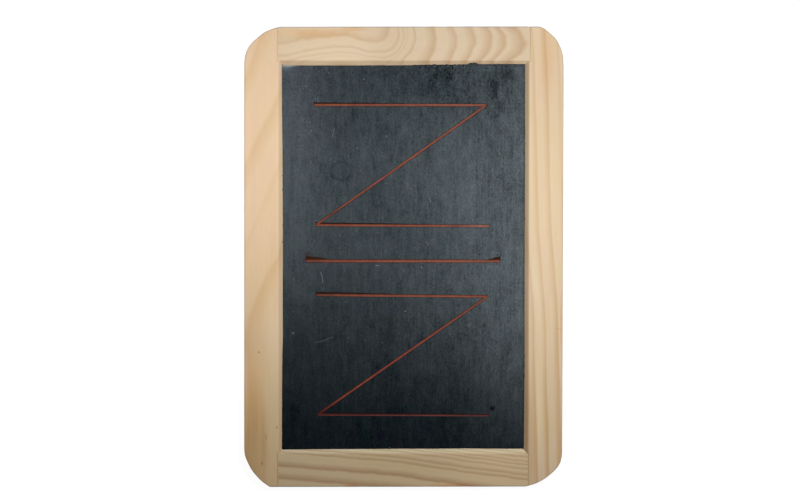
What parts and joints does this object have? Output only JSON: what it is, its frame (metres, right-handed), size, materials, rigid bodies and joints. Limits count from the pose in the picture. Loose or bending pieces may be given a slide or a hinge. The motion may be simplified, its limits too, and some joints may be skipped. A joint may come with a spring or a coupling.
{
  "type": "chalkboard",
  "caption": "Hand-held slate writing board in a grooved softwood frame with rounded corners, ruled with painted zigzag scoring lines.",
  "frame": {"origin": "middle of the frame's flat back face, on which the board lies", "axes": "+X across the board to its right edge, +Y along the board to its top end, +Z out of the ruled writing face"},
  "size_m": [0.18, 0.26, 0.01],
  "materials": {
    "pine": "matte",
    "slate": "matte",
    "line_paint": "satin"
  },
  "bodies": {
    "root": {"left_stile": "pine", "right_stile": "pine", "top_rail": "pine", "bottom_rail": "pine", "slate_panel": "slate", "upper_zigzag_paint": "line_paint", "centre_line_paint": "line_paint", "lower_zigzag_paint": "line_paint"}
  },
  "joints": []
}
